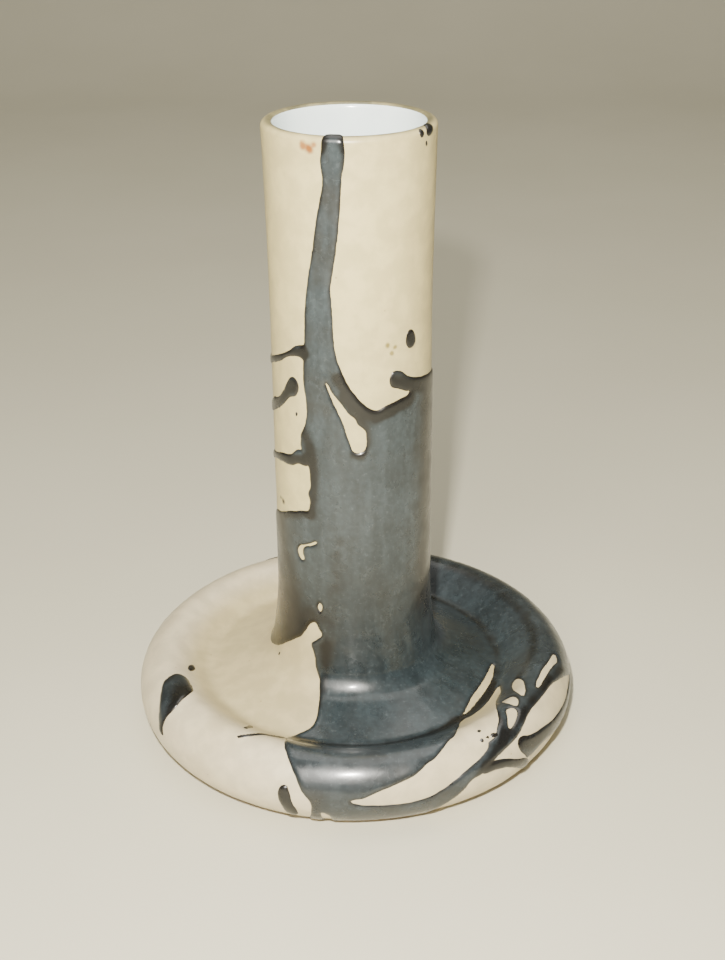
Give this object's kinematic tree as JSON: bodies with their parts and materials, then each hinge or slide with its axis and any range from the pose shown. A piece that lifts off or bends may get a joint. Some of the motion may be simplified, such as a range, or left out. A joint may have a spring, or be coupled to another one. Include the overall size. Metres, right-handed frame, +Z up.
{
  "type": "bud vase",
  "caption": "Glazed ceramic bud vase: a slim, straight neck tube on a wide, low, hollow base with a sunken dish and a thick rolled rim, with dark glaze poured over cream.",
  "frame": {"origin": "on the table under the middle of the vase", "axes": "+Z up along the vase's axis; -Y is the side that carries the main run of dark glaze"},
  "size_m": [0.1303, 0.1303, 0.178],
  "materials": {
    "bare_clay": "matte",
    "cream_glaze": "gloss",
    "liner_glaze": "gloss",
    "dark_glaze": "satin"
  },
  "bodies": {
    "root": {"neck_tube": "bare_clay", "base_shell": "bare_clay", "base_floor": "bare_clay", "foot_ring": "bare_clay", "neck_slip": "bare_clay", "floor_slip": "bare_clay", "cream_glaze": "cream_glaze", "liner_glaze": "liner_glaze", "dark_pour_neck": "dark_glaze", "dark_pour_base": "dark_glaze", "dark_drops": "dark_glaze"}
  },
  "joints": []
}
